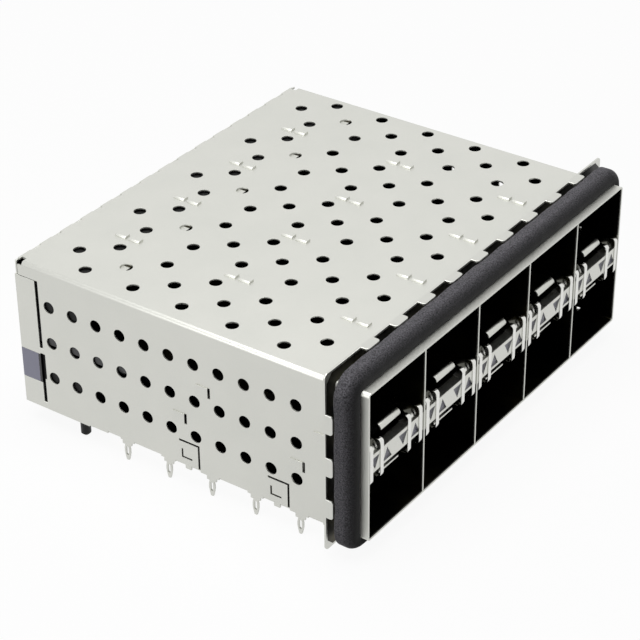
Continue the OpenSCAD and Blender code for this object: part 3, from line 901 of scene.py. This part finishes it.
@dataclass
class NoseTrim:
    """Flange with its lips, foam ring and the spring fingers in the ports."""

    def build(self) -> Iterable[bpy.types.Object]:
        """Yields each finished piece of the trim."""
        yield RoundedCopy("gasket_flange", Slot.SPRING, FLANGE_SHEET, BROAD_EDGE_MM).build()
        yield FoamGasket().build()
        for column in range(1, COLUMNS + 1):
            node = f"port_spring_{column}"
            yield RoundedCopy(node, Slot.SPRING, SPRING_STRIP, FINE_EDGE_MM).build()


@dataclass
class Innards:
    """Light pipes, connector housings and contacts."""

    def build(self) -> Iterable[bpy.types.Object]:
        """Yields each finished piece inside the cage."""
        for column in range(1, COLUMNS + 1):
            pipe, housing = f"light_pipe_{column}", f"connector_{column}"
            yield RoundedCopy(pipe, Slot.PIPE, PIPE_RESIN, BROAD_EDGE_MM).build()
            yield RoundedCopy(housing, Slot.HOUSING, HOUSING_RESIN, BROAD_EDGE_MM).build()
            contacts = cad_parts[f"contacts_{column}"]
            yield finish_piece(contacts, Slot.CONTACT, CONTACT_METAL)


@dataclass(frozen=True)
class Lamp:
    """One soft square lamp.

    Attributes:
        name: Name of the lamp.
        at: Its place, in millimetres.
        size: Side of the square, in millimetres.
        power: Power in watts.
        gloss: Share of its light that metal mirrors.
        matt: Share of its light that scatters.
    """

    name: str
    at: tuple[float, float, float]
    size: float
    power: float
    gloss: float
    matt: float

    def hang(self, facing: Vector) -> None:
        """Puts the lamp in the scene.

        Args:
            facing: The point that it faces, in millimetres.
        """
        at = Vector(self.at)
        data = bpy.data.lights.new(self.name, "AREA")
        data.energy = self.power
        data.size = self.size * MM
        data.specular_factor = self.gloss
        data.diffuse_factor = self.matt
        lamp = bpy.data.objects.new(self.name, data)
        lamp.location = at * MM
        lamp.rotation_euler = (at - facing).to_track_quat("Z", "Y").to_euler()
        bpy.context.scene.collection.objects.link(lamp)


KEY_LAMP = Lamp("key", (-60.0, -20.0, 620.0), size=500.0, power=3.0, gloss=0.02, matt=1.0)
FILL_LAMP = Lamp("fill", (-600.0, 140.0, 150.0), size=400.0, power=1.2, gloss=0.35, matt=0.8)


@dataclass
class Studio:
    """Pale floor and soft light round the cage, and the camera.

    Places and lengths are in millimetres.

    Attributes:
        floor_z: Level of the floor.
        floor_half: Half the floor's side.
        floor_colour: Colour of the floor as it is seen.
        floor_bounce: Colour that it throws on the cage.
        floor_roughness: Roughness of its paint.
        floor_glow: Share of plain white in the floor as it is seen.
        world_fill: Strength of the surround as a source of diffuse light.
        lamps: The lamps.
        middle: The point that the lamps face.
        camera_at: Place of the camera.
        azimuth_deg: Its heading.
        elevation_deg: Its height above the horizon.
        roll_deg: Its turn about the line of sight.
        lens_mm: Its focal length.
        sensor_mm: Width of its sensor.
        clip: Nearest and farthest distance that it draws.
    """

    floor_z: float = -2.75
    floor_half: float = 3000.0
    floor_colour: str = "#f4f4f4"
    floor_bounce: str = "#5c5c5c"
    floor_roughness: float = 0.9
    floor_glow: float = 0.93
    world_fill: float = 0.08
    lamps: tuple[Lamp, ...] = (KEY_LAMP, FILL_LAMP)
    middle: tuple[float, float, float] = (0.0, -20.0, 10.0)
    camera_at: tuple[float, float, float] = (-235.19, -187.19, 188.64)
    azimuth_deg: float = -54.56
    elevation_deg: float = 32.11
    roll_deg: float = -0.51
    lens_mm: float = 121.85
    sensor_mm: float = 36.0
    clip: tuple[float, float] = (10.0, 20000.0)

    def seen_directly(self, tree: Tree) -> Socket:
        """One where a ray comes from the camera, a gloss or a clear piece, else zero.

        Args:
            tree: Node tree that takes the nodes.

        Returns:
            The mask's socket.
        """
        path = add_node(tree, "ShaderNodeLightPath").outputs
        first = worked(tree, "MAXIMUM", path["Is Camera Ray"], path["Is Glossy Ray"])
        return worked(tree, "MAXIMUM", first, path["Is Transmission Ray"])

    def floor_paint(self) -> bpy.types.Material:
        """Pale paint that is seen nearly white and throws little light back."""
        paint = bpy.data.materials.new("pale_studio_paint")
        paint.use_nodes = True
        tree = paint.node_tree
        tree.nodes.clear()
        seen = self.seen_directly(tree)
        tint = blend(tree, seen, linear(self.floor_bounce), linear(self.floor_colour))
        matt = {"Base Color": tint, "Roughness": self.floor_roughness}
        layers = {
            0: worked(tree, "MULTIPLY", seen, self.floor_glow),
            1: add_node(tree, "ShaderNodeBsdfPrincipled", matt).outputs["BSDF"],
            2: add_node(
                tree, "ShaderNodeEmission", {"Color": WHITE, "Strength": 1.0}
            ).outputs["Emission"],
        }
        surface = add_node(tree, "ShaderNodeMixShader", layers).outputs[0]
        add_node(tree, "ShaderNodeOutputMaterial", {"Surface": surface})
        return paint

    def floor(self) -> None:
        """Lays a wide pale floor that keeps a soft shadow."""
        mesh = bmesh.new()
        bmesh.ops.create_grid(mesh, x_segments=1, y_segments=1, size=self.floor_half * MM)
        bmesh.ops.translate(mesh, verts=mesh.verts[:], vec=(0.0, 0.0, self.floor_z * MM))
        ground = mesh_object("studio_floor", mesh)
        ground.data.materials.append(self.floor_paint())

    def world(self) -> None:
        """A white surround for camera and gloss, dimmer as a source of diffuse light."""
        world = bpy.data.worlds.new("white_studio")
        world.use_nodes = True
        tree = world.node_tree
        tree.nodes.clear()
        strength = mapped(tree, self.seen_directly(tree), wanted=(self.world_fill, 1.0))
        sky = add_node(tree, "ShaderNodeBackground", {"Color": WHITE, "Strength": strength})
        add_node(tree, "ShaderNodeOutputWorld", {"Surface": sky.outputs["Background"]})
        bpy.context.scene.world = world

    def camera(self) -> None:
        """Places the camera by its heading, height and roll."""
        data = bpy.data.cameras.new("camera")
        data.sensor_width = self.sensor_mm
        data.lens = self.lens_mm
        data.clip_start, data.clip_end = (distance * MM for distance in self.clip)
        camera = bpy.data.objects.new("camera", data)
        heading, height = math.radians(self.azimuth_deg), math.radians(self.elevation_deg)
        back = Vector(
            (
                math.sin(heading) * math.cos(height),
                -math.cos(heading) * math.cos(height),
                math.sin(height),
            )
        )
        right = Vector((math.cos(heading), math.sin(heading), 0.0))
        up = back.cross(right)
        turn = math.radians(self.roll_deg)
        rolled_right = right * math.cos(turn) + up * math.sin(turn)
        rolled_up = up * math.cos(turn) - right * math.sin(turn)
        axes = Matrix((rolled_right, rolled_up, back)).transposed()
        camera.matrix_world = Matrix.Translation(Vector(self.camera_at) * MM) @ axes.to_4x4()
        bpy.context.scene.collection.objects.link(camera)
        bpy.context.scene.camera = camera

    def build(self) -> None:
        """Sets the floor, the world, the lamps and the camera."""
        self.floor()
        self.world()
        for lamp in self.lamps:
            lamp.hang(Vector(self.middle))
        self.camera()
        bpy.context.scene.view_settings.view_transform = "Standard"


def main() -> None:
    """Builds the cage's assemblies in order and reports each piece."""
    logging.basicConfig(level=logging.INFO, format="%(name)s: %(message)s")
    assemblies: list[Callable[[], Iterable[bpy.types.Object]]] = [
        CageSheets().build,
        NoseTrim().build,
        Innards().build,
    ]
    for build in assemblies:
        for piece in build():
            LOG.info("%s: %d faces", piece.name, len(piece.data.polygons))
    Studio().build()


if __name__ == "__main__":
    main()
